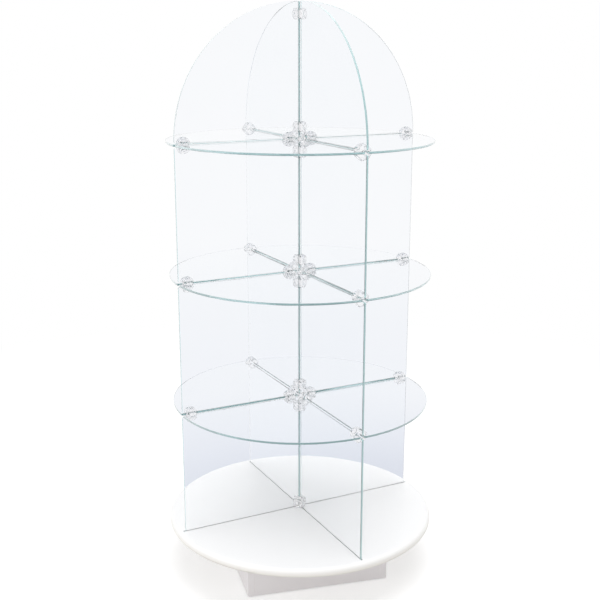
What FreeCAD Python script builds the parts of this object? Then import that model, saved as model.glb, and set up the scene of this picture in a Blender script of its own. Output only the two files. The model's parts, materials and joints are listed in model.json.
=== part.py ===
import FreeCAD, Part
import math
import os

import Sketcher
from FreeCAD import Placement, Rotation, Vector

# A free-standing revolving display tower: a square plinth, a ball-bearing turntable, a round deck,
# and three tiers of glass panes held edge to edge by clear moulded connectors, with an arched top.
# The origin is on the floor at the centre of the plinth. +Z is up, and the four glass fins run
# along +X, +Y, -X and -Y. The plinth is turned a little against the fins, as the deck revolves.

DIMENSIONS = {
    # glass
    "glass_thickness": 4.76,
    "pane_width": 304.8,
    "pane_height": 304.8,
    "pane_corner": 3.0,
    "edge_gap": 4.76,
    # clear connectors
    "slot_clearance": 0.1,
    "lobe_radius": 12.0,
    "lobe_reach": 15.5,
    "lobe_round": 1.8,
    "dish_radius": 8.8,
    "dish_depth": 3.2,
    "core_length": 19.0,
    "rim_inset": 21.0,
    "hub_offset": 29.0,
    "spine_offset": 29.5,
    "top_inset": 28.0,
    "connector_lift": 0.1,
    # deck
    "deck_margin": 18.4,
    "deck_thickness": 21.0,
    "deck_top_round": 10.0,
    "deck_bottom_round": 7.0,
    "groove_depth": 13.0,
    "groove_clearance": 0.4,
    "groove_run_out": 6.0,
    # plinth
    "plinth_turn_degrees": -12.0,
    "plinth_side": 348.0,
    "board_height": 105.0,
    "board_thickness": 16.0,
    "board_edge_round": 1.0,
    "top_thickness": 16.0,
    "joint_clearance": 0.1,
    "block_side": 32.0,
    "side_screw_height": 27.0,
    "end_screw_drop": 33.0,
    "glide_height": 2.5,
    "glide_radius": 12.0,
    "glide_foot_radius": 9.0,
    "glide_rim_height": 1.5,
    "glide_nail_radius": 1.2,
    "glide_nail_length": 14.0,
    "glide_nail_point": 2.0,
    "access_radius": 10.0,
    # turntable bearing
    "bearing_height": 9.0,
    "plate_side": 152.0,
    "plate_thickness": 2.0,
    "plate_corner": 8.0,
    "plate_hole_span": 127.0,
    "dish_rise": 1.2,
    "dish_wall": 1.6,
    "dish_outer_radius": 40.0,
    "eyelet_radius": 29.0,
    "eyelet_wall": 1.0,
    "eyelet_flange": 5.0,
    "eyelet_running_gap": 0.3,
    "race_radius": 54.0,
    "ball_radius": 3.0,
    "ball_gap": 0.3,
    "cage_thickness": 1.2,
    "cage_width": 12.0,
    # screws
    "screw_radius": 2.0,
    "screw_head_radius": 3.8,
    "screw_point": 3.0,
    "pan_head_height": 1.8,
    "pan_head_rim": 0.9,
    "pan_head_flat_radius": 2.7,
    "screw_hole_gap": 0.05,
    "hole_end_gap": 0.5,
    "plate_screw_length": 14.0,
    "board_screw_length": 40.0,
}
BALL_COUNT = 12
QUARTER_TURN = 90
SAME_PLACE = 1e-6
FINS = ("east", "north", "west", "south")
TIERS = ("lower", "middle", "upper")
CORNERS = ((1, 1), (-1, 1), (-1, -1), (1, -1))

# Sizes that follow from the ones above, as spreadsheet formulas.
LAYOUT = {
    "half_slot": "Sizes.glass_thickness / 2 + Sizes.slot_clearance",
    "core_half": "Sizes.edge_gap - Sizes.slot_clearance",
    "fin_reach": "Sizes.edge_gap + Sizes.pane_width",
    "quarter_radius": "Sizes.pane_width",
    "deck_radius": "fin_reach + Sizes.deck_margin",
    "frame_half": "Sizes.plinth_side / 2",
    "inner_half": "Sizes.plinth_side / 2 - Sizes.board_thickness",
    "plinth_top_z": "Sizes.glide_height + Sizes.board_height",
    "deck_bottom_z": "plinth_top_z + Sizes.bearing_height",
    "deck_top_z": "deck_bottom_z + Sizes.deck_thickness",
    "glass_foot_z": "deck_top_z - Sizes.groove_depth",
    "tier_pitch": "Sizes.pane_height + 2 * Sizes.edge_gap",
    "first_shelf_z": "glass_foot_z + Sizes.pane_height + Sizes.edge_gap",
    "groove_half_width": "Sizes.glass_thickness / 2 + Sizes.groove_clearance",
    "groove_reach": "fin_reach + Sizes.groove_run_out",
    "block_centre": "inner_half - Sizes.block_side / 2 - Sizes.joint_clearance",
    "block_height": "Sizes.board_height - Sizes.top_thickness",
    "end_screw_height": "block_height - Sizes.end_screw_drop",
    "hole_radius": "Sizes.screw_radius + Sizes.screw_hole_gap",
    "plate_hole_half": "Sizes.plate_hole_span / 2",
    "screw_circle": "Sizes.plate_hole_span / sqrt(2)",
    "eyelet_bore": "Sizes.eyelet_radius + Sizes.eyelet_running_gap",
    "recess_radius": "Sizes.eyelet_radius + Sizes.eyelet_flange + Sizes.eyelet_running_gap",
    "race_cut_radius": "Sizes.ball_radius + Sizes.ball_gap",
    "ball_level": "Sizes.bearing_height / 2",
    "head_depth": "Sizes.screw_head_radius - Sizes.screw_radius",
    "side_screw_z": "Sizes.glide_height + Sizes.side_screw_height",
    "end_screw_z": "Sizes.glide_height + end_screw_height",
    "plate_bite": "Sizes.plate_screw_length - Sizes.plate_thickness + Sizes.hole_end_gap",
    "side_bite": "Sizes.board_screw_length - Sizes.block_side + Sizes.hole_end_gap",
    "top_bite": "Sizes.board_screw_length - Sizes.top_thickness + Sizes.hole_end_gap",
}

doc = FreeCAD.newDocument("tower_display_case")


def make_sheet(name, rows):
    """A spreadsheet with one aliased cell per row."""
    table = doc.addObject("Spreadsheet::Sheet", name)
    for number, (alias, content) in enumerate(rows.items(), start=1):
        table.set(f"A{number}", alias)
        table.set(f"B{number}", content if isinstance(content, str) else str(content))
        table.setAlias(f"B{number}", alias)
    return table


sizes = make_sheet("Sizes", DIMENSIONS)
layout = make_sheet("Layout", {alias: "=" + formula for alias, formula in LAYOUT.items()})
doc.recompute()


def size(alias):
    """The value of a driving or a derived size, in millimetres or degrees."""
    table = sizes if alias in DIMENSIONS else layout
    return float(table.get(alias))


def new_body(label):
    body = doc.addObject("PartDesign::Body", label)
    body.Label = label
    return body


def origin_feature(body, role):
    return next(f for f in body.Origin.OriginFeatures if f.Role == role)


def new_sketch(body, name, role, lift=None):
    """A sketch on one of the body's own origin planes, moved along its normal by an expression."""
    sketch = body.newObject("Sketcher::SketchObject", name)
    sketch.AttachmentSupport = [(origin_feature(body, role), "")]
    sketch.MapMode = "FlatFace"
    if lift:
        sketch.setExpression("AttachmentOffset.Base.z", lift)
    return sketch


def pin(sketch, kind, geometry, point, value, expression):
    """Holds a point's X or Y in the sketch at an expression."""
    rule = Sketcher.Constraint(kind, -1, 1, geometry, point, value)
    index = sketch.addConstraint(rule)
    sketch.setExpression(f"Constraints[{index}]", expression)


def add_rectangle(sketch, left, bottom, right, top):
    """A rectangle whose sides stand at four expressions."""
    first = sketch.GeometryCount
    corners = [Vector(-1, -1), Vector(1, -1), Vector(1, 1), Vector(-1, 1)]
    for start, end in zip(corners, corners[1:] + corners[:1]):
        sketch.addGeometry(Part.LineSegment(start, end))
    for side in range(4):
        joined = Sketcher.Constraint("Coincident", first + side, 2, first + (side + 1) % 4, 1)
        sketch.addConstraint(joined)
    for side, rule in enumerate(("Horizontal", "Vertical", "Horizontal", "Vertical")):
        sketch.addConstraint(Sketcher.Constraint(rule, first + side))
    pin(sketch, "DistanceX", first, 1, -1.0, left)
    pin(sketch, "DistanceY", first, 1, -1.0, bottom)
    pin(sketch, "DistanceX", first + 1, 2, 1.0, right)
    pin(sketch, "DistanceY", first + 1, 2, 1.0, top)


def add_circle(sketch, radius, centre_x=None, centre_y=None):
    """A circle of an expression's radius, on the origin or at two expressions."""
    number = sketch.addGeometry(Part.Circle(Vector(0, 0, 0), Vector(0, 0, 1), 1.0))
    index = sketch.addConstraint(Sketcher.Constraint("Radius", number, 1.0))
    sketch.setExpression(f"Constraints[{index}]", radius)
    if centre_x is None:
        sketch.addConstraint(Sketcher.Constraint("Coincident", number, 3, -1, 1))
    else:
        pin(sketch, "DistanceX", number, 3, 0.0, centre_x)
        pin(sketch, "DistanceY", number, 3, 0.0, centre_y)


def add_corner_circles(sketch, radius, half):
    """Four circles on the corners of a centred square of a half side."""
    for sign_x, sign_y in CORNERS:
        add_circle(sketch, radius, f"{sign_x} * {half}", f"{sign_y} * {half}")


def add_outline(sketch, points):
    """A closed outline of straight lines through points given as pairs of expressions."""
    first = sketch.GeometryCount
    count = len(points)
    step = Rotation(Vector(0, 0, 1), 360.0 / count)
    ring = [Vector(1, 0, 0)]
    for number in range(1, count):
        ring.append(step.multVec(ring[-1]))
    for number in range(count):
        sketch.addGeometry(Part.LineSegment(ring[number], ring[(number + 1) % count]))
    for number in range(count):
        joined = Sketcher.Constraint("Coincident", first + number, 2, first + (number + 1) % count, 1)
        sketch.addConstraint(joined)
        across, up = points[number]
        pin(sketch, "DistanceX", first + number, 1, ring[number].x, across)
        pin(sketch, "DistanceY", first + number, 1, ring[number].y, up)


def pad(body, sketch, length, symmetric=False):
    feature = body.newObject("PartDesign::Pad", sketch.Name + "_pad")
    feature.Profile = sketch
    feature.setExpression("Length", length)
    feature.SideType = "Symmetric" if symmetric else "One side"
    doc.recompute()
    return feature


def pocket(body, sketch, length, upward=False, symmetric=False):
    """Cuts a sketch down along its normal, up along it, or both ways at once."""
    before = body.Shape.Volume
    feature = body.newObject("PartDesign::Pocket", sketch.Name + "_cut")
    feature.Profile = sketch
    feature.setExpression("Length", length)
    feature.SideType = "Symmetric" if symmetric else "One side"
    feature.Reversed = upward
    doc.recompute()
    if body.Shape.Volume > before - SAME_PLACE:
        raise RuntimeError(feature.Name + " removes nothing")
    return feature


def revolve(body, sketch, role):
    feature = body.newObject("PartDesign::Revolution", sketch.Name + "_turn")
    feature.Profile = sketch
    feature.ReferenceAxis = (origin_feature(body, role), [""])
    feature.Angle = 360.0
    doc.recompute()
    return feature


def polar(body, feature, count):
    pattern = body.newObject("PartDesign::PolarPattern", feature.Name + "_ring")
    pattern.Originals = [feature]
    pattern.Axis = (origin_feature(body, "Z_Axis"), [""])
    pattern.Occurrences = count
    pattern.Angle = 360.0
    body.Tip = pattern
    doc.recompute()
    return pattern


def dress(body, kind, base, wanted, amount_name, amount):
    """A fillet or chamfer on the edges of the base feature that pass a test."""
    names = [f"Edge{n}" for n, edge in enumerate(base.Shape.Edges, start=1) if wanted(edge)]
    feature = body.newObject("PartDesign::" + kind, base.Name + "_" + kind.lower())
    feature.Base = (base, names)
    feature.setExpression(amount_name, amount)
    doc.recompute()
    return feature


def runs_along(edge, direction):
    """Whether an edge is straight and parallel to a direction."""
    if edge.Curve.TypeId != "Part::GeomLine":
        return False
    return edge.tangentAt(edge.FirstParameter).cross(direction).Length < SAME_PLACE


def stand(thing, turn="0", x="0", y="0", z="0"):
    """Turns a piece about the vertical and moves it, all by expressions."""
    thing.Placement = Placement(Vector(0, 0, 0), Rotation(Vector(0, 0, 1), 1))
    thing.setExpression("Placement.Rotation.Angle", turn)
    for axis, place in (("x", x), ("y", y), ("z", z)):
        thing.setExpression("Placement.Base." + axis, place)


def group(label, master, places):
    """One node of separate identical solids: copies of a master piece at a list of placements."""
    copies = []
    for number, place in enumerate(places, start=1):
        copy = doc.addObject("App::Link", f"{label}_{number}")
        copy.LinkedObject = master
        copy.Placement = place
        copies.append(copy)
    whole = doc.addObject("Part::Compound", label)
    whole.Label = label
    whole.Links = copies
    return whole


parts = []


def make_pane(label, quarter, level_z):
    """A square pane standing on edge, with softened corners, from the joint gap outwards."""
    body = new_body(label)
    sketch = new_sketch(body, label + "_outline", "XZ_Plane")
    add_rectangle(sketch, "Sizes.edge_gap", "0", "Layout.fin_reach", "Sizes.pane_height")
    blank = pad(body, sketch, "Sizes.glass_thickness", symmetric=True)
    across = Vector(0, 1, 0)
    dress(body, "Fillet", blank, lambda edge: runs_along(edge, across), "Radius", "Sizes.pane_corner")
    stand(body, turn=str(QUARTER_TURN * quarter), z=level_z)
    parts.append(body)


def make_quarter(label, quarter, role, level_z):
    """A quarter-circle pane: flat as a shelf on the XY plane, or upright as the arch on XZ."""
    body = new_body(label)
    sketch = new_sketch(body, label + "_outline", role)
    gap = size("edge_gap")
    reach = size("quarter_radius")
    foot = gap if role == "XY_Plane" else 0.0
    foot_rule = "Sizes.edge_gap" if role == "XY_Plane" else "0"
    corner = Vector(gap, foot, 0)
    arc = Part.ArcOfCircle(Part.Circle(corner, Vector(0, 0, 1), reach), 0.0, math.pi / 2)
    sketch.addGeometry(Part.LineSegment(corner, corner + Vector(reach, 0, 0)))
    sketch.addGeometry(arc)
    sketch.addGeometry(Part.LineSegment(corner + Vector(0, reach, 0), corner))
    for first, end, second, start in ((0, 2, 1, 1), (1, 2, 2, 1), (2, 2, 0, 1), (1, 3, 0, 1)):
        sketch.addConstraint(Sketcher.Constraint("Coincident", first, end, second, start))
    sketch.addConstraint(Sketcher.Constraint("Horizontal", 0))
    sketch.addConstraint(Sketcher.Constraint("Vertical", 2))
    index = sketch.addConstraint(Sketcher.Constraint("Radius", 1, reach))
    sketch.setExpression(f"Constraints[{index}]", "Layout.quarter_radius")
    pin(sketch, "DistanceX", 0, 1, gap, "Sizes.edge_gap")
    pin(sketch, "DistanceY", 0, 1, foot, foot_rule)
    blank = pad(body, sketch, "Sizes.glass_thickness", symmetric=True)
    across = Vector(0, 0, 1) if role == "XY_Plane" else Vector(0, 1, 0)
    dress(body, "Fillet", blank, lambda edge: runs_along(edge, across), "Radius", "Sizes.pane_corner")
    stand(body, turn=str(QUARTER_TURN * quarter), z=level_z)
    parts.append(body)


def make_connector():
    """The clear four-way connector, with its joint line upright. Four dished round lobes face out
    between the panes, and four slots at 45 degrees to them take the glass up to the square core."""
    body = new_body("connector")
    profile = new_sketch(body, "lobe_profile", "XZ_Plane")
    reach = size("lobe_reach")
    radius = size("lobe_radius")
    soft = size("lobe_round")
    dish = size("dish_radius")
    depth = size("dish_depth")
    floor = reach - depth
    bow = (dish * dish + depth * depth) / (2 * depth)
    sag_angle = math.asin(dish / bow)
    centre = Vector(floor + bow, 0, 0)
    bowl = Part.ArcOfCircle(Part.Circle(centre, Vector(0, 0, 1), bow), math.pi - sag_angle, math.pi)
    rim_circle = Part.Circle(Vector(reach - soft, radius - soft, 0), Vector(0, 0, 1), soft)
    profile.addGeometry(Part.LineSegment(Vector(0, 0, 0), Vector(floor, 0, 0)))
    profile.addGeometry(bowl)
    profile.addGeometry(Part.LineSegment(Vector(reach, dish, 0), Vector(reach, radius - soft, 0)))
    profile.addGeometry(Part.ArcOfCircle(rim_circle, 0, math.pi / 2))
    profile.addGeometry(Part.LineSegment(Vector(reach - soft, radius, 0), Vector(0, radius, 0)))
    profile.addGeometry(Part.LineSegment(Vector(0, radius, 0), Vector(0, 0, 0)))
    for first, end, second, start in (
        (0, 2, 1, 2), (1, 1, 2, 1), (2, 2, 3, 1), (3, 2, 4, 1), (4, 2, 5, 1), (5, 2, 0, 1), (0, 1, -1, 1),
    ):
        profile.addConstraint(Sketcher.Constraint("Coincident", first, end, second, start))
    profile.addConstraint(Sketcher.Constraint("Horizontal", 0))
    profile.addConstraint(Sketcher.Constraint("Vertical", 2))
    profile.addConstraint(Sketcher.Constraint("Horizontal", 4))
    profile.addConstraint(Sketcher.Constraint("Vertical", 5))
    profile.addConstraint(Sketcher.Constraint("PointOnObject", 1, 3, -1))
    pin(profile, "DistanceX", 0, 2, floor, "Sizes.lobe_reach - Sizes.dish_depth")
    pin(profile, "DistanceX", 2, 1, reach, "Sizes.lobe_reach")
    pin(profile, "DistanceY", 2, 1, dish, "Sizes.dish_radius")
    pin(profile, "DistanceX", 3, 3, reach - soft, "Sizes.lobe_reach - Sizes.lobe_round")
    pin(profile, "DistanceY", 3, 3, radius - soft, "Sizes.lobe_radius - Sizes.lobe_round")
    pin(profile, "DistanceX", 3, 2, reach - soft, "Sizes.lobe_reach - Sizes.lobe_round")
    pin(profile, "DistanceY", 2, 2, radius - soft, "Sizes.lobe_radius - Sizes.lobe_round")
    lobe = revolve(body, profile, "X_Axis")
    polar(body, lobe, 4)

    # The slots are drawn across the joint line and turned 45 degrees by the sketch's own offset.
    slot = new_sketch(body, "glass_slot", "XY_Plane")
    slot.AttachmentOffset = Placement(Vector(0, 0, 0), Rotation(Vector(0, 0, 1), 45))
    beyond = "Sizes.lobe_reach + Sizes.lobe_radius"
    add_rectangle(slot, "Layout.core_half", "-Layout.half_slot", beyond, "Layout.half_slot")
    cut = pocket(body, slot, "4 * Sizes.lobe_radius", symmetric=True)
    polar(body, cut, 4)

    # The core's ends are flush and shorter than the lobes, so light passes round it.
    for name, level, upward in (
        ("core_end_top", "Sizes.core_length / 2", True),
        ("core_end_bottom", "-Sizes.core_length / 2", False),
    ):
        end = new_sketch(body, name, "XY_Plane", lift=level)
        add_rectangle(end, "-Layout.core_half", "-Layout.core_half", "Layout.core_half", "Layout.core_half")
        pocket(body, end, "Sizes.lobe_radius", upward=upward)
    return body


def connector_place(turn, lift, radial):
    """A connector on a radial joint line, turned so that its slots lie with the fin and the shelf."""
    along = Rotation(Vector(0, 0, 1), turn)
    lie_down = Rotation(Vector(0, 1, 0), 90)
    roll = Rotation(Vector(0, 0, 1), 45)
    return Placement(along.multVec(Vector(radial, 0, 0)) + Vector(0, 0, lift), along * lie_down * roll)


def make_connectors():
    connector = make_connector()
    rim_radial = size("fin_reach") - size("rim_inset")
    spine_levels = [size("deck_top_z") + size("lobe_radius") + size("connector_lift")]
    for number, tier in enumerate(TIERS):
        shelf_z = size("first_shelf_z") + number * size("tier_pitch")
        turns = [QUARTER_TURN * quarter for quarter in range(len(FINS))]
        rim = [connector_place(turn, shelf_z, rim_radial) for turn in turns]
        hub = [connector_place(turn, shelf_z, size("hub_offset")) for turn in turns]
        parts.append(group(tier + "_rim_connectors", connector, rim))
        parts.append(group(tier + "_hub_connectors", connector, hub))
        spine_levels += [shelf_z - size("spine_offset"), shelf_z + size("spine_offset")]
    arch_top_z = shelf_z + size("edge_gap") + size("quarter_radius")
    spine_levels.append(arch_top_z - size("top_inset"))
    upright = Rotation(Vector(0, 0, 1), 45)
    spine = [Placement(Vector(0, 0, level), upright) for level in spine_levels]
    parts.append(group("spine_connectors", connector, spine))


def make_deck():
    """The round deck: rounded edge, crossed grooves for the glass, screw holes underneath."""
    body = new_body("deck")
    outline = new_sketch(body, "deck_outline", "XY_Plane")
    add_circle(outline, "Layout.deck_radius")
    blank = pad(body, outline, "Sizes.deck_thickness")
    top_edge = size("deck_thickness")
    softened = dress(
        body, "Fillet", blank, lambda edge: edge.CenterOfMass.z > top_edge / 2 and edge.Closed,
        "Radius", "Sizes.deck_top_round",
    )
    dress(
        body, "Fillet", softened, lambda edge: edge.CenterOfMass.z < SAME_PLACE and edge.Closed,
        "Radius", "Sizes.deck_bottom_round",
    )
    for name, across, along in (
        ("groove_x", "Layout.groove_reach", "Layout.groove_half_width"),
        ("groove_y", "Layout.groove_half_width", "Layout.groove_reach"),
    ):
        groove = new_sketch(body, name, "XY_Plane", lift="Sizes.deck_thickness")
        add_rectangle(groove, "-" + across, "-" + along, across, along)
        pocket(body, groove, "Sizes.groove_depth")
    holes = new_sketch(body, "deck_screw_holes", "XY_Plane")
    add_corner_circles(holes, "Layout.hole_radius", "Layout.plate_hole_half")
    pocket(body, holes, "Layout.plate_bite", upward=True)
    stand(body, z="Layout.deck_bottom_z")
    parts.append(body)


def make_plinth_board(label, half_length, turn, is_side):
    """One plinth board, standing outside the inner square, with pilot holes for the block screws."""
    body = new_body(label)
    outline = new_sketch(body, label + "_outline", "XY_Plane")
    add_rectangle(outline, "Layout.inner_half", "-" + half_length, "Layout.frame_half", half_length)
    blank = pad(body, outline, "Sizes.board_height")
    up = Vector(0, 0, 1)
    face = size("frame_half")
    dress(
        body, "Fillet", blank,
        lambda edge: runs_along(edge, up) and edge.CenterOfMass.x > face - SAME_PLACE,
        "Radius", "Sizes.board_edge_round",
    )
    pilot = new_sketch(body, label + "_pilot_holes", "YZ_Plane", lift="Layout.inner_half")
    height = "Sizes.side_screw_height" if is_side else "Layout.end_screw_height"
    for sign in (-1, 1):
        add_circle(pilot, "Layout.hole_radius", f"{sign} * Layout.block_centre", height)
    pocket(body, pilot, "Layout.side_bite", upward=True)
    stand(body, turn=f"Sizes.plinth_turn_degrees + {turn}", z="Sizes.glide_height")
    parts.append(body)


def make_plinth_top():
    """The bearing board set inside the frame, with pilot holes and the access hole."""
    body = new_body("plinth_top")
    outline = new_sketch(body, "plinth_top_outline", "XY_Plane")
    half = "(Layout.inner_half - Sizes.joint_clearance)"
    add_rectangle(outline, "-" + half, "-" + half, half, half)
    pad(body, outline, "Sizes.top_thickness")
    plate_holes = new_sketch(body, "plinth_top_plate_holes", "XY_Plane", lift="Sizes.top_thickness")
    add_corner_circles(plate_holes, "Layout.hole_radius", "Layout.plate_hole_half")
    pocket(body, plate_holes, "Layout.plate_bite")
    block_holes = new_sketch(body, "plinth_top_block_holes", "XY_Plane")
    add_corner_circles(block_holes, "Layout.hole_radius", "Layout.block_centre")
    pocket(body, block_holes, "Sizes.top_thickness", upward=True)
    access = new_sketch(body, "access_hole", "XY_Plane")
    add_circle(access, "Sizes.access_radius", "Layout.screw_circle", "0")
    bored = pocket(body, access, "Sizes.top_thickness", upward=True)
    top = size("top_thickness")
    away = size("plate_hole_half") + size("hole_radius")
    dress(
        body, "Chamfer", bored,
        lambda edge: (
            edge.Curve.TypeId == "Part::GeomCircle"
            and abs(edge.CenterOfMass.z - top) < SAME_PLACE
            and abs(edge.CenterOfMass.x) > away
            and abs(edge.CenterOfMass.y) > away
        ),
        "Size", "Layout.head_depth",
    )
    stand(body, turn="Sizes.plinth_turn_degrees", z="Layout.plinth_top_z - Sizes.top_thickness")
    parts.append(body)


def make_corner_block(number, sign_x, sign_y):
    """A softwood block in one corner of the plinth, bored for its screws and its glide's nail."""
    body = new_body(f"corner_block_{number}")
    half = "Sizes.block_side / 2"
    outline = new_sketch(body, body.Label + "_outline", "XY_Plane")
    add_rectangle(outline, "-" + half, "-" + half, half, half)
    pad(body, outline, "Layout.block_height")
    top_hole = new_sketch(body, body.Label + "_top_hole", "XY_Plane", lift="Layout.block_height")
    add_circle(top_hole, "Layout.hole_radius")
    pocket(body, top_hole, "Layout.top_bite")
    nail_hole = new_sketch(body, body.Label + "_nail_hole", "XY_Plane")
    add_circle(nail_hole, "Sizes.glide_nail_radius + Sizes.screw_hole_gap")
    pocket(body, nail_hole, "Sizes.glide_nail_length + Sizes.hole_end_gap", upward=True)
    for name, role, height in (
        ("_side_hole", "YZ_Plane", "Sizes.side_screw_height"),
        ("_end_hole", "XZ_Plane", "Layout.end_screw_height"),
    ):
        hole = new_sketch(body, body.Label + name, role)
        add_circle(hole, "Layout.hole_radius", "0", height)
        bored = pocket(body, hole, "2 * Sizes.block_side", symmetric=True)
    face = size("block_side") / 2
    dress(
        body, "Chamfer", bored,
        lambda edge: edge.Curve.TypeId == "Part::GeomCircle" and (
            abs(edge.CenterOfMass.x + sign_x * face) < SAME_PLACE
            or abs(edge.CenterOfMass.y + sign_y * face) < SAME_PLACE
        ),
        "Size", "Layout.head_depth",
    )
    turn = "Sizes.plinth_turn_degrees"
    centre_x = f"Layout.block_centre * ({sign_x} * cos({turn}) - {sign_y} * sin({turn}))"
    centre_y = f"Layout.block_centre * ({sign_x} * sin({turn}) + {sign_y} * cos({turn}))"
    stand(body, turn=turn, x=centre_x, y=centre_y, z="Sizes.glide_height")
    parts.append(body)


def make_wood_screw():
    """A countersunk wood screw pointing down, its head's face at the origin."""
    body = new_body("wood_screw")
    profile = new_sketch(body, "wood_screw_profile", "XZ_Plane")
    add_outline(profile, [
        ("0", "0"),
        ("0", "-Sizes.board_screw_length"),
        ("Sizes.screw_radius", "-Sizes.board_screw_length + Sizes.screw_point"),
        ("Sizes.screw_radius", "-Layout.head_depth"),
        ("Sizes.screw_head_radius", "0"),
    ])
    revolve(body, profile, "Z_Axis")
    return body


def make_pan_screw():
    """A pan-head screw pointing down, its head standing on the origin plane."""
    body = new_body("pan_screw")
    profile = new_sketch(body, "pan_screw_profile", "XZ_Plane")
    add_outline(profile, [
        ("0", "Sizes.pan_head_height"),
        ("0", "-Sizes.plate_screw_length"),
        ("Sizes.screw_radius", "-Sizes.plate_screw_length + Sizes.screw_point"),
        ("Sizes.screw_radius", "0"),
        ("Sizes.screw_head_radius", "0"),
        ("Sizes.screw_head_radius", "Sizes.pan_head_rim"),
        ("Sizes.pan_head_flat_radius", "Sizes.pan_head_height"),
    ])
    revolve(body, profile, "Z_Axis")
    return body


def make_plinth_fasteners():
    screw = make_wood_screw()
    turn = Rotation(Vector(0, 0, 1), size("plinth_turn_degrees"))
    centre = size("block_centre")
    inner = size("block_side") / 2
    into_blocks = []
    through_top = []
    for sign_x, sign_y in CORNERS:
        down = Placement(turn.multVec(Vector(sign_x * centre, sign_y * centre, size("plinth_top_z"))), turn)
        through_top.append(down)
        side_head = Vector(sign_x * (centre - inner), sign_y * centre, size("side_screw_z"))
        side_way = Rotation(Vector(0, 0, -1), Vector(sign_x, 0, 0))
        end_head = Vector(sign_x * centre, sign_y * (centre - inner), size("end_screw_z"))
        end_way = Rotation(Vector(0, 0, -1), Vector(0, sign_y, 0))
        into_blocks.append(Placement(turn.multVec(side_head), turn * side_way))
        into_blocks.append(Placement(turn.multVec(end_head), turn * end_way))
    parts.append(group("corner_block_screws", screw, into_blocks))
    parts.append(group("plinth_top_screws", screw, through_top))


def make_floor_glides():
    """Four nail-on glides: a domed foot under each corner block, with its nail in the block."""
    body = new_body("floor_glide")
    profile = new_sketch(body, "floor_glide_profile", "XZ_Plane")
    add_outline(profile, [
        ("0", "0"),
        ("Sizes.glide_foot_radius", "0"),
        ("Sizes.glide_radius", "Sizes.glide_rim_height"),
        ("Sizes.glide_radius", "Sizes.glide_height"),
        ("Sizes.glide_nail_radius", "Sizes.glide_height"),
        ("Sizes.glide_nail_radius", "Sizes.glide_height + Sizes.glide_nail_length - Sizes.glide_nail_point"),
        ("0", "Sizes.glide_height + Sizes.glide_nail_length"),
    ])
    revolve(body, profile, "Z_Axis")
    turn = Rotation(Vector(0, 0, 1), size("plinth_turn_degrees"))
    centre = size("block_centre")
    places = [Placement(turn.multVec(Vector(x * centre, y * centre, 0)), turn) for x, y in CORNERS]
    parts.append(group("floor_glides", body, places))


def make_bearing_plate(label, level, upside_down):
    """One pressed plate of the turntable bearing: a raised middle that clears the eyelet's flange,
    a race for the balls and four screw holes. The upper plate is the same one turned over."""
    body = new_body(label)
    half = "Sizes.plate_side / 2"
    outline = new_sketch(body, label + "_outline", "XY_Plane")
    add_rectangle(outline, "-" + half, "-" + half, half, half)
    blank = pad(body, outline, "Sizes.plate_thickness")
    up = Vector(0, 0, 1)
    dress(body, "Fillet", blank, lambda edge: runs_along(edge, up), "Radius", "Sizes.plate_corner")
    rise = new_sketch(body, label + "_rise", "XY_Plane", lift="Sizes.plate_thickness")
    add_circle(rise, "Sizes.dish_outer_radius")
    pad(body, rise, "Sizes.dish_rise")
    recess = new_sketch(body, label + "_recess", "XY_Plane")
    add_circle(recess, "Layout.recess_radius")
    pocket(body, recess, "Sizes.plate_thickness + Sizes.dish_rise - Sizes.dish_wall", upward=True)
    bore = new_sketch(body, label + "_bore", "XY_Plane")
    add_circle(bore, "Layout.eyelet_bore")
    pocket(body, bore, "2 * Sizes.bearing_height", upward=True)
    race = new_sketch(body, label + "_race", "XZ_Plane")
    add_circle(race, "Layout.race_cut_radius", "Sizes.race_radius", "Layout.ball_level")
    groove = body.newObject("PartDesign::Groove", label + "_race_groove")
    groove.Profile = race
    groove.ReferenceAxis = (origin_feature(body, "Z_Axis"), [""])
    groove.Angle = 360.0
    doc.recompute()
    holes = new_sketch(body, label + "_screw_holes", "XY_Plane")
    add_corner_circles(holes, "Layout.hole_radius", "Layout.plate_hole_half")
    pocket(body, holes, "Sizes.plate_thickness", upward=True)
    if upside_down:
        body.Placement = Placement(Vector(0, 0, 0), Rotation(Vector(1, 0, 0), 180))
        body.setExpression("Placement.Base.z", level)
    else:
        stand(body, turn="Sizes.plinth_turn_degrees", z=level)
    parts.append(body)


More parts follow.
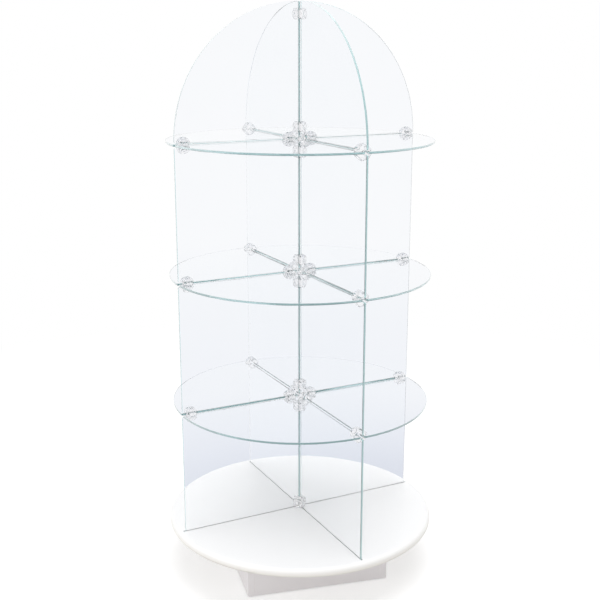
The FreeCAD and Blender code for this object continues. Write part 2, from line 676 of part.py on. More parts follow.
def make_bearing():
    make_bearing_plate("bearing_lower_plate", "Layout.plinth_top_z", upside_down=False)
    make_bearing_plate("bearing_upper_plate", "Layout.deck_bottom_z", upside_down=True)

    # The eyelet's flanges lie in the two recesses: gripped in the upper one, free in the lower one.
    eyelet = new_body("bearing_eyelet")
    profile = new_sketch(eyelet, "eyelet_profile", "XZ_Plane")
    web = "(Sizes.plate_thickness + Sizes.dish_rise - Sizes.dish_wall)"
    foot = f"({web} - Sizes.eyelet_running_gap)"
    seat = f"(Sizes.bearing_height - {web})"
    bore = "(Sizes.eyelet_radius - Sizes.eyelet_wall)"
    lip = "(Sizes.eyelet_radius + Sizes.eyelet_flange)"
    add_outline(profile, [
        (bore, f"{foot} - Sizes.eyelet_wall"),
        (lip, f"{foot} - Sizes.eyelet_wall"),
        (lip, foot),
        ("Sizes.eyelet_radius", foot),
        ("Sizes.eyelet_radius", seat),
        (lip, seat),
        (lip, f"{seat} + Sizes.eyelet_wall"),
        (bore, f"{seat} + Sizes.eyelet_wall"),
    ])
    revolve(eyelet, profile, "Z_Axis")
    stand(eyelet, z="Layout.plinth_top_z")
    parts.append(eyelet)

    cage = new_body("ball_cage")
    ring = new_sketch(cage, "cage_ring", "XY_Plane")
    add_circle(ring, "Sizes.race_radius + Sizes.cage_width / 2")
    add_circle(ring, "Sizes.race_radius - Sizes.cage_width / 2")
    pad(cage, ring, "Sizes.cage_thickness", symmetric=True)
    window = new_sketch(cage, "cage_window", "XY_Plane")
    add_circle(window, "Layout.race_cut_radius", "Sizes.race_radius", "0")
    cut = pocket(cage, window, "2 * Sizes.cage_thickness", symmetric=True)
    polar(cage, cut, BALL_COUNT)
    stand(cage, z="Layout.plinth_top_z + Layout.ball_level")
    parts.append(cage)

    ball = doc.addObject("Part::Sphere", "bearing_ball")
    ball.setExpression("Radius", "Sizes.ball_radius")
    centre_z = size("plinth_top_z") + size("ball_level")
    places = []
    for number in range(BALL_COUNT):
        around = Rotation(Vector(0, 0, 1), 360.0 * number / BALL_COUNT)
        spot = around.multVec(Vector(size("race_radius"), 0, 0))
        places.append(Placement(spot + Vector(0, 0, centre_z), around))
    parts.append(group("bearing_balls", ball, places))

    screw = make_pan_screw()
    half = size("plate_hole_half")
    turn = Rotation(Vector(0, 0, 1), size("plinth_turn_degrees"))
    low_z = size("plinth_top_z") + size("plate_thickness")
    high_z = size("deck_bottom_z") - size("plate_thickness")
    over = Rotation(Vector(1, 0, 0), 180)
    lower = [Placement(turn.multVec(Vector(x * half, y * half, low_z)), turn) for x, y in CORNERS]
    upper = [Placement(Vector(x * half, y * half, high_z), over) for x, y in CORNERS]
    parts.append(group("lower_plate_screws", screw, lower))
    parts.append(group("upper_plate_screws", screw, upper))


def make_glass():
    for number, tier in enumerate(TIERS):
        foot = f"Layout.glass_foot_z + {number} * Layout.tier_pitch"
        shelf = f"Layout.first_shelf_z + {number} * Layout.tier_pitch"
        for quarter, fin in enumerate(FINS):
            make_pane(f"{tier}_pane_{fin}", quarter, foot)
            make_quarter(f"{tier}_shelf_{fin}", quarter, "XY_Plane", shelf)
    arch_foot = "Layout.first_shelf_z + 2 * Layout.tier_pitch + Sizes.edge_gap"
    for quarter, fin in enumerate(FINS):
        make_quarter(f"arch_pane_{fin}", quarter, "XZ_Plane", arch_foot)


def make_plinth():
    inner = "(Layout.inner_half - Sizes.joint_clearance)"
    make_plinth_board("plinth_side_right", "Layout.frame_half", 0, is_side=True)
    make_plinth_board("plinth_back", inner, 90, is_side=False)
    make_plinth_board("plinth_side_left", "Layout.frame_half", 180, is_side=True)
    make_plinth_board("plinth_front", inner, 270, is_side=False)
    make_plinth_top()
    for number, (sign_x, sign_y) in enumerate(CORNERS, start=1):
        make_corner_block(number, sign_x, sign_y)
    make_plinth_fasteners()
    make_floor_glides()


def check_document():
    """Stops on any failed object, and on a piece whose shape is missing or unsound."""
    for thing in doc.Objects:
        if "Invalid" in thing.State or "Error" in thing.State:
            raise RuntimeError(f"{thing.Name} failed: {thing.State}")
    for piece in parts:
        if piece.Shape.isNull() or not piece.Shape.isValid() or not piece.Shape.Solids:
            raise RuntimeError(f"{piece.Label} has no sound shape")


def write_parts():
    os.makedirs("parts", exist_ok=True)
    for piece in parts:
        piece.Shape.exportStep(os.path.join("parts", piece.Label + ".step"))


make_plinth()
make_bearing()
make_deck()
make_glass()
make_connectors()
doc.recompute()
check_document()
write_parts()
print(len(parts), "nodes,", sum(len(piece.Shape.Solids) for piece in parts), "solids")
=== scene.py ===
import json
import math

import bpy
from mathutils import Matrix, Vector


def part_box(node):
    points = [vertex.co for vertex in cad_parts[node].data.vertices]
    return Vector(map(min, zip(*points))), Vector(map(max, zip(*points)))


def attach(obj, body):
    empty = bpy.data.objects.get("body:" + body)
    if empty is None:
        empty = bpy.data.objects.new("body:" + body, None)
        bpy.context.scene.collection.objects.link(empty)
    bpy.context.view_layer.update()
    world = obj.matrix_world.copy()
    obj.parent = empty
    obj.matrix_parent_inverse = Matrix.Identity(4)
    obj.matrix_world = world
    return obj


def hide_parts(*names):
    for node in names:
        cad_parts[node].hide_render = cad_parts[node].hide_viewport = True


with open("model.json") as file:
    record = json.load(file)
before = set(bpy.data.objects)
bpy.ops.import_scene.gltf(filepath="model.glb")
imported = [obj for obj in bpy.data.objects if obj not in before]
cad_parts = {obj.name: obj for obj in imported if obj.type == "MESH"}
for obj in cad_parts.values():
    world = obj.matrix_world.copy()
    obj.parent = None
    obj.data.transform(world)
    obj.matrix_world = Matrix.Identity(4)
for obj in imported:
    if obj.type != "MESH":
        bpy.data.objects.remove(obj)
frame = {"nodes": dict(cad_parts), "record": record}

# Look of the revolving display tower: clear glass panes on edge, round glass shelves and a glass
# arch, held by clear moulded connectors on a white turning deck over a square white plinth.
# Metres throughout. The tower turns about Z, and its fins lie along X and Y.

MM = 0.001
FINS = ("east", "north", "west", "south")
TIERS = ("lower", "middle", "upper")
QUARTER = math.pi / 2

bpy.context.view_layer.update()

# Sizes read from the frame

pane_low, pane_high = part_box("lower_pane_east")
next_low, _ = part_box("middle_pane_east")
shelf_low, shelf_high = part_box("lower_shelf_east")
arch_low, arch_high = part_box("arch_pane_east")
deck_low, deck_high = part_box("deck")

GLASS_THICKNESS = pane_high.y - pane_low.y
EDGE_GAP = pane_low.x
PANE_WIDTH = pane_high.x - pane_low.x
PANE_HEIGHT = pane_high.z - pane_low.z
QUARTER_RADIUS = arch_high.z - arch_low.z
TIER_PITCH = next_low.z - pane_low.z
PANE_FOOT = pane_low.z
SHELF_MIDDLE = (shelf_low.z + shelf_high.z) / 2
ARCH_FOOT = arch_low.z

# Finish of the glass blanks: rounded corners and a fine ground arris along every edge

CORNER_RADIUS = 3.0 * MM
CORNER_STEPS = 5
ARC_STEPS = 72
ARRIS = 0.5 * MM
ARRIS_FROM_ANGLE = math.radians(60)
SHARP_ANGLE = math.radians(30)
WELD = 0.01 * MM
# Past this share of the radius, a side of a quarter circle is its outer rim.
RIM_FROM = 0.985

# Optics and texture

GLASS_IOR = 1.52
PLASTIC_IOR = 1.42
LACQUER_IOR = 1.5
# The values between which noise mostly lies
NOISE_LOW = 0.3
NOISE_HIGH = 0.7
WIPE_SCALE = 9.0
POLISH_SCALE = 160.0
FLOW_SCALE = 90.0
CLOUD_SCALE = 7.0
PEEL_SCALE = 420.0
PEEL_STRENGTH = 0.5
GRAIN_SCALE = 900.0
WOOD_STRETCH = (55.0, 55.0, 2.5)
FIBRE_SCALE = 60.0


# Node helpers

def add(tree, kind, values=None, **settings):
    """A node with its settings, and its sockets set by name or number."""
    node = tree.nodes.new(kind)
    for key, value in settings.items():
        setattr(node, key, value)
    for socket, value in (values or {}).items():
        if isinstance(value, bpy.types.NodeSocket):
            tree.links.new(value, node.inputs[socket])
        else:
            node.inputs[socket].default_value = value
    return node


def math_node(tree, operation, *values):
    return add(tree, "ShaderNodeMath", dict(enumerate(values)), operation=operation).outputs[0]


def vector(tree, x=0.0, y=0.0, z=0.0):
    return add(tree, "ShaderNodeCombineXYZ", {"X": x, "Y": y, "Z": z}).outputs[0]


def distance_from(tree, place, centre):
    values = {0: place, 1: centre}
    return add(tree, "ShaderNodeVectorMath", values, operation="DISTANCE").outputs["Value"]


def object_place(tree, stretch=(1, 1, 1)):
    """Object coordinates, stretched for a grain that runs one way."""
    coordinates = add(tree, "ShaderNodeTexCoord").outputs["Object"]
    return add(tree, "ShaderNodeMapping", {"Vector": coordinates, "Scale": stretch}).outputs["Vector"]


def noise(tree, place, scale, detail=3.0):
    values = {"Vector": place, "Scale": scale, "Detail": detail, "Roughness": 0.55}
    return add(tree, "ShaderNodeTexNoise", values).outputs["Fac"]


def ramp(tree, factor, stops):
    node = add(tree, "ShaderNodeValToRGB", {"Fac": factor})
    elements = node.color_ramp.elements
    while len(elements) < len(stops):
        elements.new(1.0)
    for element, (position, colour) in zip(elements, stops):
        element.position = position
        element.color = (*colour, 1.0)
    return node.outputs["Color"]


def clouded(tree, factor, first, second):
    """Two colours that follow a noise."""
    return ramp(tree, factor, ((NOISE_LOW, first), (NOISE_HIGH, second)))


def between(tree, factor, low, high):
    """A value that follows a noise from low to high."""
    values = {
        "Value": factor, "From Min": NOISE_LOW, "From Max": NOISE_HIGH, "To Min": low, "To Max": high,
    }
    return add(tree, "ShaderNodeMapRange", values).outputs["Result"]


def bump(tree, height, distance, strength):
    values = {"Height": height, "Distance": distance, "Strength": strength}
    return add(tree, "ShaderNodeBump", values).outputs["Normal"]


def mix_shaders(tree, factor, first, second):
    return add(tree, "ShaderNodeMixShader", {0: factor, 1: first, 2: second}).outputs[0]


def new_material(name):
    material = bpy.data.materials.new(name)
    material.use_nodes = True
    tree = material.node_tree
    tree.nodes.clear()
    return material, tree


def finish_opaque(tree, values):
    surface = add(tree, "ShaderNodeBsdfPrincipled", values)
    add(tree, "ShaderNodeOutputMaterial", {"Surface": surface.outputs["BSDF"]})


def finish_clear(tree, values, shadow):
    """Clear material whose shadow is a pale tint, as light really passes through it."""
    surface = add(tree, "ShaderNodeBsdfPrincipled", {"Transmission Weight": 1.0, **values})
    passed = add(tree, "ShaderNodeBsdfTransparent", {"Color": (*shadow, 1.0)})
    in_shadow = add(tree, "ShaderNodeLightPath").outputs["Is Shadow Ray"]
    mixed = mix_shaders(tree, in_shadow, surface.outputs["BSDF"], passed.outputs["BSDF"])
    add(tree, "ShaderNodeOutputMaterial", {"Surface": mixed})


# Glass and clear plastic

def glass_face():
    """Polished face of clear float glass, with faint wipe marks."""
    material, tree = new_material("glass_face")
    wiped = noise(tree, object_place(tree), WIPE_SCALE, detail=5.0)
    finish_clear(tree, {
        "Base Color": clouded(tree, wiped, (0.985, 0.99, 0.996), (0.976, 0.984, 0.99)),
        "Roughness": between(tree, wiped, 0.0, 0.012), "IOR": GLASS_IOR,
    }, (0.997, 0.998, 0.998))
    return material


def glass_edge(name, greens):
    """Polished edge: green where one looks into the depth of the glass, pale from the side, and clear
    where it is met from inside, as a pane's far edge hardly shows through its face."""
    material, tree = new_material(name)
    polish = noise(tree, object_place(tree), POLISH_SCALE)
    facing = add(tree, "ShaderNodeLayerWeight", {"Blend": 0.5}).outputs["Facing"]
    inside = add(tree, "ShaderNodeNewGeometry").outputs["Backfacing"]
    depth = math_node(tree, "ADD", facing, between(tree, polish, -0.015, 0.015))
    look = math_node(tree, "MAXIMUM", depth, inside)
    clearness = add(tree, "ShaderNodeMapRange", {"Value": inside, "To Min": 0.35, "To Max": 1.0})
    finish_clear(tree, {
        "Base Color": ramp(tree, look, (*greens, (0.95, (0.965, 0.98, 0.98)))),
        "Roughness": between(tree, polish, 0.02, 0.08), "IOR": GLASS_IOR,
        "Transmission Weight": clearness.outputs["Result"],
    }, (0.90, 0.94, 0.94))
    return material


def clear_plastic():
    """Moulded clear plastic, bright through the middle of a lobe, with a thin dark rim of painted shade
    where its outside curves away."""
    material, tree = new_material("clear_plastic")
    facing = add(tree, "ShaderNodeLayerWeight", {"Blend": 0.5}).outputs["Facing"]
    inside = add(tree, "ShaderNodeNewGeometry").outputs["Backfacing"]
    # Painted shade: the colour goes near black where a lobe's outside is seen edge-on, which draws its
    # dark rim.
    rim = math_node(tree, "SUBTRACT", facing, inside)
    flow = noise(tree, object_place(tree), FLOW_SCALE)
    finish_clear(tree, {
        "Base Color": ramp(tree, rim, (
            (0.0, (0.985, 0.98, 0.98)), (0.60, (0.98, 0.975, 0.975)), (0.72, (0.45, 0.44, 0.45)),
            (0.86, (0.05, 0.055, 0.055)),
        )),
        "Roughness": between(tree, flow, 0.0, 0.012), "IOR": PLASTIC_IOR,
    }, (0.90, 0.90, 0.90))
    return material


# Boards, steel and opaque plastic

def lacquer(name, pale, deep, roughness, orange_peel):
    """Sprayed lacquer on board: an even colour with faint clouds and a fine orange peel."""
    material, tree = new_material(name)
    place = object_place(tree)
    clouds = noise(tree, place, CLOUD_SCALE, detail=4.0)
    peel = noise(tree, place, PEEL_SCALE, detail=2.0)
    finish_opaque(tree, {
        "Base Color": clouded(tree, clouds, pale, deep),
        "Roughness": between(tree, clouds, roughness, roughness + 0.08),
        "Normal": bump(tree, peel, orange_peel, PEEL_STRENGTH), "IOR": LACQUER_IOR,
    })
    return material


def deck_lacquer():
    """White lacquer on the turned board, with painted shade: palest on the top face, and darker and
    warmer down the rounded edge as it turns away from the light.
    """
    material, tree = new_material("deck_lacquer")
    place = object_place(tree)
    clouds = noise(tree, place, CLOUD_SCALE, detail=4.0)
    peel = noise(tree, place, PEEL_SCALE, detail=2.0)
    # Painted shade by height: the ramp below makes the top face palest and the rounded edge darker and
    # warmer towards its bottom.
    height = add(tree, "ShaderNodeSeparateXYZ", {"Vector": place}).outputs["Z"]
    level = add(tree, "ShaderNodeMapRange", {
        "Value": height, "From Min": deck_low.z, "From Max": deck_high.z,
    }).outputs["Result"]
    painted_shade_and_clouds = math_node(tree, "ADD", level, between(tree, clouds, -0.02, 0.02))
    finish_opaque(tree, {
        "Base Color": ramp(tree, painted_shade_and_clouds, (
            (0.15, (0.77, 0.74, 0.69)), (0.50, (0.85, 0.83, 0.80)), (0.85, (0.87, 0.865, 0.855)),
            (1.0, (0.95, 0.95, 0.955)),
        )),
        "Roughness": between(tree, clouds, 0.32, 0.40),
        "Normal": bump(tree, peel, 0.04 * MM, PEEL_STRENGTH), "IOR": LACQUER_IOR,
    })
    return material


def softwood():
    """Planed softwood with its grain upright."""
    material, tree = new_material("softwood")
    rings = add(tree, "ShaderNodeTexWave", {
        "Vector": object_place(tree, WOOD_STRETCH), "Scale": 1.0, "Distortion": 5.0, "Detail": 3.0,
        "Detail Scale": 1.4,
    }, bands_direction="X").outputs["Fac"]
    finish_opaque(tree, {
        "Base Color": ramp(tree, rings, ((0.0, (0.66, 0.49, 0.30)), (1.0, (0.80, 0.66, 0.46)))),
        "Roughness": between(tree, rings, 0.5, 0.65), "Normal": bump(tree, rings, 0.1 * MM, 0.3),
    })
    return material


def plated_steel(name, pale, deep, roughness, scale):
    """Plated or polished steel, clouded a little by handling."""
    material, tree = new_material(name)
    clouds = noise(tree, object_place(tree), scale, detail=4.0)
    finish_opaque(tree, {
        "Base Color": clouded(tree, clouds, pale, deep), "Metallic": 1.0,
        "Roughness": between(tree, clouds, roughness, roughness + 0.12),
    })
    return material


def moulded_plastic(name, pale, deep, roughness):
    """Opaque moulded plastic with a fine spark-eroded texture."""
    material, tree = new_material(name)
    grain = noise(tree, object_place(tree), GRAIN_SCALE, detail=2.0)
    finish_opaque(tree, {
        "Base Color": clouded(tree, grain, pale, deep),
        "Roughness": between(tree, grain, roughness, roughness + 0.1),
        "Normal": bump(tree, grain, 0.03 * MM, 0.5),
    })
    return material


FACE = glass_face()
SHELF_RIM = glass_edge("shelf_rim", (
    (0.05, (0.35, 0.53, 0.55)), (0.20, (0.43, 0.61, 0.63)),
    (0.45, (0.63, 0.77, 0.78)), (0.70, (0.76, 0.86, 0.87)),
))
PANE_EDGE = glass_edge("pane_edge", (
    (0.05, (0.50, 0.78, 0.80)), (0.16, (0.61, 0.88, 0.90)),
    (0.40, (0.72, 0.89, 0.90)), (0.70, (0.80, 0.92, 0.93)),
))
FINISHES = {
    "clear_plastic": clear_plastic(),
    "deck_white": deck_lacquer(),
    "plinth_white": lacquer("plinth_lacquer", (0.88, 0.85, 0.86), (0.86, 0.83, 0.84), 0.42, 0.06 * MM),
    "plinth_top_board": lacquer("board_face", (0.78, 0.77, 0.74), (0.75, 0.74, 0.71), 0.5, 0.05 * MM),
    "softwood": softwood(),
    "bearing_steel": plated_steel("zinc_pressing", (0.62, 0.63, 0.62), (0.54, 0.55, 0.53), 0.3, 60.0),
    "ball_steel": plated_steel("polished_steel", (0.75, 0.75, 0.74), (0.70, 0.70, 0.70), 0.06, 200.0),
    "cage_plastic": moulded_plastic("cage_plastic", (0.03, 0.03, 0.032), (0.022, 0.022, 0.024), 0.45),
    "screw_steel": plated_steel("zinc_screw", (0.66, 0.62, 0.48), (0.58, 0.54, 0.42), 0.28, 150.0),
    "glide_plastic": moulded_plastic("glide_nylon", (0.09, 0.085, 0.08), (0.07, 0.066, 0.062), 0.5),
}
for part in frame["record"]["subparts"]:
    if part["material_slot"] in FINISHES:
        for slot in frame["nodes"][part["node"]].material_slots:
            slot.material = FINISHES[part["material_slot"]]


# Glass blanks, made and placed by Geometry Nodes

def set_material(tree, geometry, material, selection=True):
    values = {"Geometry": geometry, "Selection": selection, "Material": material}
    return add(tree, "GeometryNodeSetMaterial", values).outputs[0]


def moved(tree, geometry, translation, turn=(0.0, 0.0, 0.0)):
    values = {"Geometry": geometry, "Translation": translation, "Rotation": turn}
    return add(tree, "GeometryNodeTransform", values).outputs[0]


def cut_blank(tree, given, outline):
    """One blank lying on its outline: filled, thickened and closed at its back, with its own finish on
    the sides and on the outer rim."""
    filled = add(tree, "GeometryNodeFillCurve", {"Curve": outline}, mode="NGONS").outputs[0]
    thickened = add(tree, "GeometryNodeExtrudeMesh", {
        "Mesh": filled, "Offset Scale": given["Thickness"], "Individual": False,
    }).outputs
    place = add(tree, "GeometryNodeInputPosition").outputs[0]
    from_corner = add(tree, "ShaderNodeVectorMath", {0: place}, operation="LENGTH").outputs["Value"]
    rim_radius = math_node(tree, "MULTIPLY", given["Width"], RIM_FROM)
    outer = math_node(tree, "GREATER_THAN", from_corner, rim_radius)
    outer_side = math_node(tree, "MULTIPLY", outer, thickened["Side"])
    sides = set_material(tree, thickened["Mesh"], given["Face"])
    sides = set_material(tree, sides, given["Edge"], thickened["Side"])
    sides = set_material(tree, sides, given["Rim"], outer_side)
    back = add(tree, "GeometryNodeFlipFaces", {"Mesh": filled}).outputs[0]
    back = set_material(tree, back, given["Face"])
    joined = add(tree, "GeometryNodeJoinGeometry")
    tree.links.new(back, joined.inputs[0])
    tree.links.new(sides, joined.inputs[0])
    values = {"Geometry": joined.outputs[0], "Distance": WELD}
    return add(tree, "GeometryNodeMergeByDistance", values).outputs[0]


def set_round_axis(tree, given, blank):
    """The blank centred in its thickness, stood up if wanted, moved out to the joint gap and copied
    round the axis. A point's number gives the fin that its copy turns to."""
    half = math_node(tree, "MULTIPLY", given["Thickness"], -0.5)
    centred = moved(tree, blank, vector(tree, z=half))
    out_to_gap = vector(tree, x=given["Edge Gap"], y=given["Foot Gap"])
    stood = moved(tree, centred, out_to_gap, vector(tree, x=given["Stand Up"]))
    number = add(tree, "GeometryNodeInputIndex").outputs[0]
    turn = math_node(tree, "MULTIPLY", number, QUARTER)
    points = add(tree, "GeometryNodePoints", {
        "Count": given["Fins"], "Position": vector(tree, z=given["Foot"]),
    }).outputs[0]
    copies = add(tree, "GeometryNodeInstanceOnPoints", {
        "Points": points, "Instance": stood, "Rotation": vector(tree, z=turn),
    }).outputs[0]
    return add(tree, "GeometryNodeRealizeInstances", {"Geometry": copies}).outputs[0]


def blank_tree(name, draw_outline):
    """A tree that cuts one glass blank to an outline and sets a copy of it at every fin. The outline is
    drawn flat, and the blank is stood up or left lying by its turn."""
    tree = bpy.data.node_groups.new(name, "GeometryNodeTree")
    tree.interface.new_socket("Glass", in_out="OUTPUT", socket_type="NodeSocketGeometry")
    for label, kind in (
        ("Width", "Float"), ("Height", "Float"), ("Thickness", "Float"), ("Corner Radius", "Float"),
        ("Edge Gap", "Float"), ("Foot Gap", "Float"), ("Foot", "Float"), ("Fins", "Int"),
        ("Stand Up", "Float"), ("Face", "Material"), ("Edge", "Material"), ("Rim", "Material"),
    ):
        tree.interface.new_socket(label, in_out="INPUT", socket_type="NodeSocket" + kind)
    given = tree.nodes.new("NodeGroupInput").outputs
    blank = cut_blank(tree, given, draw_outline(tree, given))
    glass = set_round_axis(tree, given, blank)
    tree.links.new(glass, tree.nodes.new("NodeGroupOutput").inputs[0])
    return tree


def rounded(tree, curve, radius):
    """A closed outline with its corners rounded."""
    return add(tree, "GeometryNodeFilletCurve", {
        "Curve": curve, "Count": CORNER_STEPS, "Radius": radius,
    }, mode="POLY").outputs[0]


def square_outline(tree, given):
    """A rectangle whose near lower corner is at the origin."""
    half_width = math_node(tree, "MULTIPLY", given["Width"], 0.5)
    half_height = math_node(tree, "MULTIPLY", given["Height"], 0.5)
    sheet = add(tree, "GeometryNodeCurvePrimitiveQuadrilateral", {
        "Width": given["Width"], "Height": given["Height"],
    }).outputs[0]
    cornered = moved(tree, sheet, vector(tree, x=half_width, y=half_height))
    return rounded(tree, cornered, given["Corner Radius"])


def quarter_outline(tree, given):
    """A quarter circle of the given height, with its centre at the origin. Only the first and the last
    point of its arc, and the centre, are corners to round."""
    sector = add(tree, "GeometryNodeCurveArc", {
        "Resolution": ARC_STEPS, "Radius": given["Height"], "Start Angle": 0.0, "Sweep Angle": QUARTER,
        "Connect Center": True,
    }, mode="RADIUS").outputs[0]
    number = add(tree, "GeometryNodeInputIndex").outputs[0]
    first = math_node(tree, "LESS_THAN", number, 0.5)
    last_or_centre = math_node(tree, "GREATER_THAN", number, ARC_STEPS - 1.5)
    corner = math_node(tree, "MAXIMUM", first, last_or_centre)
    return rounded(tree, sector, math_node(tree, "MULTIPLY", corner, given["Corner Radius"]))


def glass_piece(name, tree, stem, **inputs):
    """Runs a blank tree, grinds the arris and keeps the result as one plain mesh on the turntable, in
    place of the frame's panes of that stem."""
    holder = bpy.data.objects.new(name + "_blank", bpy.data.meshes.new(name + "_blank"))
    bpy.context.scene.collection.objects.link(holder)
    blanks = holder.modifiers.new("blanks", "NODES")
    blanks.node_group = tree
    inputs.update(
        Thickness=GLASS_THICKNESS, Corner_Radius=CORNER_RADIUS, Edge_Gap=EDGE_GAP, Fins=len(FINS),
        Face=FACE, Edge=PANE_EDGE,
    )
    for item in tree.interface.items_tree:
        if item.item_type == "SOCKET" and item.in_out == "INPUT":
            blanks[item.identifier] = inputs[item.name.replace(" ", "_")]
    arris = holder.modifiers.new("arris", "BEVEL")
    arris.width = ARRIS
    arris.segments = 1
    arris.limit_method = "ANGLE"
    arris.angle_limit = ARRIS_FROM_ANGLE
    ready = holder.evaluated_get(bpy.context.evaluated_depsgraph_get())
    mesh = bpy.data.meshes.new_from_object(ready)
    bpy.data.objects.remove(holder)
    mesh.name = name
    mesh.shade_smooth()
    mesh.set_sharp_from_angle(angle=SHARP_ANGLE)
    piece = bpy.data.objects.new(name, mesh)
    bpy.context.scene.collection.objects.link(piece)
    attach(piece, "turntable")
    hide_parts(*(f"{stem}_{fin}" for fin in FINS))


SQUARES = blank_tree("square_panes", square_outline)
QUARTERS = blank_tree("quarter_panes", quarter_outline)
QUARTER_SIZE = dict(Width=QUARTER_RADIUS, Height=QUARTER_RADIUS)
for number, level in enumerate(TIERS):
    lift = number * TIER_PITCH
    glass_piece(
        level + "_glass_fins", SQUARES, level + "_pane", Width=PANE_WIDTH, Height=PANE_HEIGHT,
        Foot_Gap=0.0, Foot=PANE_FOOT + lift, Stand_Up=QUARTER, Rim=PANE_EDGE,
    )
    glass_piece(
        level + "_glass_shelf", QUARTERS, level + "_shelf", **QUARTER_SIZE,
        Foot_Gap=EDGE_GAP, Foot=SHELF_MIDDLE + lift, Stand_Up=0.0, Rim=SHELF_RIM,
    )
glass_piece(
    "glass_arch", QUARTERS, "arch_pane", **QUARTER_SIZE,
    Foot_Gap=0.0, Foot=ARCH_FOOT, Stand_Up=QUARTER, Rim=PANE_EDGE,
)


# Floor and surroundings

FLOOR_SIDE = 40.0
# Distances from the axis between which the floor turns plain white
WHITE_FROM = 0.9
WHITE_BY = 2.2
AMBIENT = 0.80
FLOOR_LIFT = 0.47
# Seen through glass, the floor has a painted shadow of the tower, deepest just behind the deck and
# paling with distance.
PAINTED_SHADOW_CENTRE = (0.14, 0.0, 0.0)
PAINTED_SHADOW_REACH = 4.0
HAZE_FAR = (0.958, 0.964, 0.98)


def looks(tree):
    """Two factors, 1 for the rays that look straight at the surroundings or see them in a reflection,
    and 1 for those that see them through glass."""
    path = add(tree, "ShaderNodeLightPath").outputs
    straight = math_node(tree, "MAXIMUM", path["Is Camera Ray"], path["Is Glossy Ray"])
    return straight, path["Is Transmission Ray"]


def floor_near(tree, place, straight):
    """Pale paper that takes the tower's shadow."""
    fibre = noise(tree, place, FIBRE_SCALE)
    paper = add(tree, "ShaderNodeBsdfDiffuse", {
        "Color": clouded(tree, fibre, (0.62, 0.62, 0.62), (0.64, 0.64, 0.64)),
    })
    lift = math_node(tree, "MULTIPLY", straight, FLOOR_LIFT)
    lifted = add(tree, "ShaderNodeEmission", {"Strength": lift})
    return add(tree, "ShaderNodeAddShader", {0: paper.outputs[0], 1: lifted.outputs[0]}).outputs[0]


def painted_shadow_through_glass(tree, place):
    """A faint lavender grey, seen through glass, with a painted shadow of the tower that is deepest
    near the deck.
    """
    reach = math_node(tree, "DIVIDE", distance_from(tree, place, PAINTED_SHADOW_CENTRE), PAINTED_SHADOW_REACH)
    colour = ramp(tree, reach, (
        (0.12, (0.71, 0.74, 0.82)), (0.19, (0.80, 0.825, 0.89)), (0.30, (0.885, 0.902, 0.942)),
        (0.60, (0.915, 0.928, 0.958)), (1.0, HAZE_FAR),
    ))
    return add(tree, "ShaderNodeEmission", {"Color": colour}).outputs[0]


def floor_paper():
    """Paper near the tower, plain white away from it, and where it is seen through glass a lavender
    grey with a painted shadow of the tower.
    """
    material, tree = new_material("floor_paper")
    place = object_place(tree)
    straight, through = looks(tree)
    away = add(tree, "ShaderNodeMapRange", {
        "Value": distance_from(tree, place, (0.0, 0.0, 0.0)), "From Min": WHITE_FROM,
        "From Max": WHITE_BY,
    }).outputs["Result"]
    cut_out = math_node(tree, "MULTIPLY", away, straight)
    white = add(tree, "ShaderNodeEmission", {"Strength": 1.0}).outputs[0]
    open_floor = mix_shaders(tree, cut_out, floor_near(tree, place, straight), white)
    mixed = mix_shaders(tree, through, open_floor, painted_shadow_through_glass(tree, place))
    add(tree, "ShaderNodeOutputMaterial", {"Surface": mixed})
    return material


def make_floor():
    half = FLOOR_SIDE / 2
    corners = [(-half, -half, 0), (half, -half, 0), (half, half, 0), (-half, half, 0)]
    mesh = bpy.data.meshes.new("floor")
    mesh.from_pydata(corners, [], [(0, 1, 2, 3)])
    mesh.materials.append(floor_paper())
    floor = bpy.data.objects.new("floor", mesh)
    bpy.context.scene.collection.objects.link(floor)


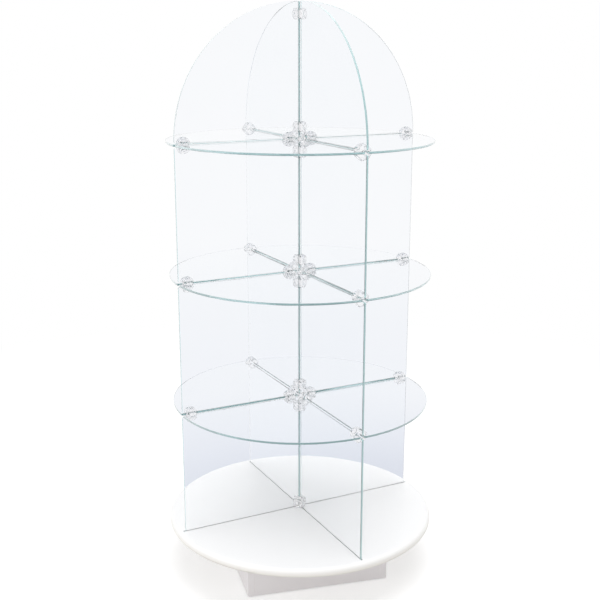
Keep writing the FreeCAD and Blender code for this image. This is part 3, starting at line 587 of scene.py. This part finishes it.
def make_world():
    """White where it is looked at, a pale haze through glass, and a softer grey as light."""
    world = bpy.data.worlds.new("studio")
    world.use_nodes = True
    tree = world.node_tree
    tree.nodes.clear()
    straight, through = looks(tree)
    strength = add(tree, "ShaderNodeMapRange", {"Value": straight, "To Min": AMBIENT, "To Max": 1.0})
    around = add(tree, "ShaderNodeBackground", {
        "Color": (1.0, 1.0, 1.0, 1.0), "Strength": strength.outputs["Result"],
    })
    haze = add(tree, "ShaderNodeBackground", {"Color": (*HAZE_FAR, 1.0), "Strength": 1.0})
    mixed = mix_shaders(tree, through, around.outputs[0], haze.outputs[0])
    add(tree, "ShaderNodeOutputWorld", {"Surface": mixed})
    bpy.context.scene.world = world


make_floor()
make_world()

# Lamps: each soft box with its place, the side of its square and its power in watts

TOWER_MIDDLE = Vector((0.0, 0.0, 0.6))
SOFT_BOXES = {
    "overhead": ((0.1, -0.4, 3.6), 2.6, 55.0),
    "left_key": ((-3.6, -0.6, 1.2), 2.2, 34.0),
    "front_fill": ((0.6, -4.2, 1.1), 2.6, 14.0),
}


def soft_box(name, place, side, power):
    """A square soft box aimed at the tower's middle, and not seen in the glass itself."""
    light = bpy.data.lights.new(name, "AREA")
    light.size = side
    light.energy = power
    lamp = bpy.data.objects.new(name, light)
    lamp.location = place
    lamp.rotation_euler = (TOWER_MIDDLE - Vector(place)).to_track_quat("-Z", "Y").to_euler()
    lamp.visible_glossy = False
    lamp.visible_transmission = False
    bpy.context.scene.collection.objects.link(lamp)


for name, settings in SOFT_BOXES.items():
    soft_box(name, *settings)

# Camera: the photograph's viewpoint, in front and to the left of the fins, looking down

CAMERA_PLACE = (-1.0801, -2.1401, 1.3013)
CAMERA_HEADING = math.radians(26.779)
CAMERA_PITCH = math.radians(14.581)
LENS = 61.5
# Light passes through many faces of glass on its way, and less often off the boards.
GLASS_BOUNCES = 32
BOARD_BOUNCES = 12

camera_data = bpy.data.cameras.new("camera")
camera_data.lens = LENS
camera = bpy.data.objects.new("camera", camera_data)
camera.location = CAMERA_PLACE
camera.rotation_euler = (QUARTER - CAMERA_PITCH, 0.0, -CAMERA_HEADING)
bpy.context.scene.collection.objects.link(camera)

scene = bpy.context.scene
scene.camera = camera
scene.view_settings.view_transform = "Standard"
scene.cycles.max_bounces = GLASS_BOUNCES
scene.cycles.transmission_bounces = GLASS_BOUNCES
scene.cycles.transparent_max_bounces = GLASS_BOUNCES
scene.cycles.glossy_bounces = BOARD_BOUNCES
scene.cycles.diffuse_bounces = BOARD_BOUNCES
